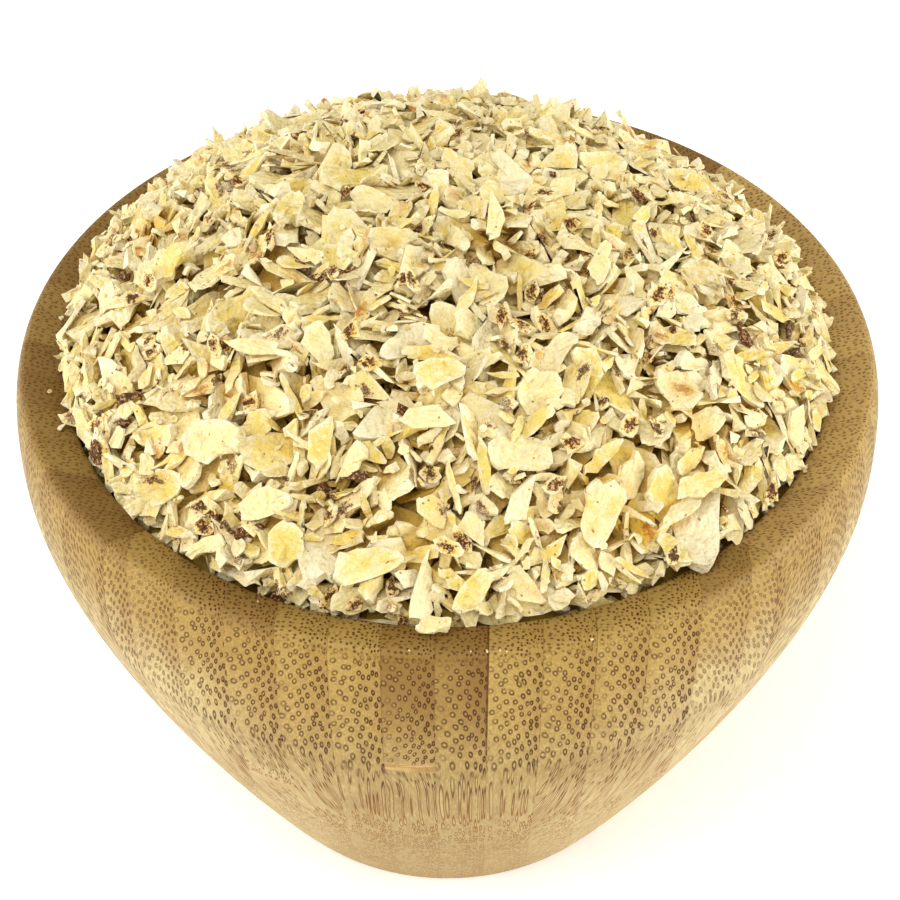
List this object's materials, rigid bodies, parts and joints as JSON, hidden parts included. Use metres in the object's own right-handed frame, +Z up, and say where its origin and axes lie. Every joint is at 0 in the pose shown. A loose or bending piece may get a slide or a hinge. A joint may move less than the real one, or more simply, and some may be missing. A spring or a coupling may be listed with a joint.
{
  "type": "bowl of tiger nut flakes",
  "caption": "Thick-walled turned bamboo bowl tapering to a small flat foot, heaped above its rim with thin uneven tiger nut flakes.",
  "frame": {"origin": "middle of the flat foot, on the surface the bowl stands on", "axes": "+Z up along the axis the bowl was turned on; -Y is the side that the picture shows in front"},
  "size_m": [0.121, 0.121, 0.1066],
  "materials": {
    "bamboo": "satin",
    "flakes": "matte"
  },
  "bodies": {
    "root": {"bowl": "bamboo", "flakes": "flakes"}
  },
  "joints": []
}
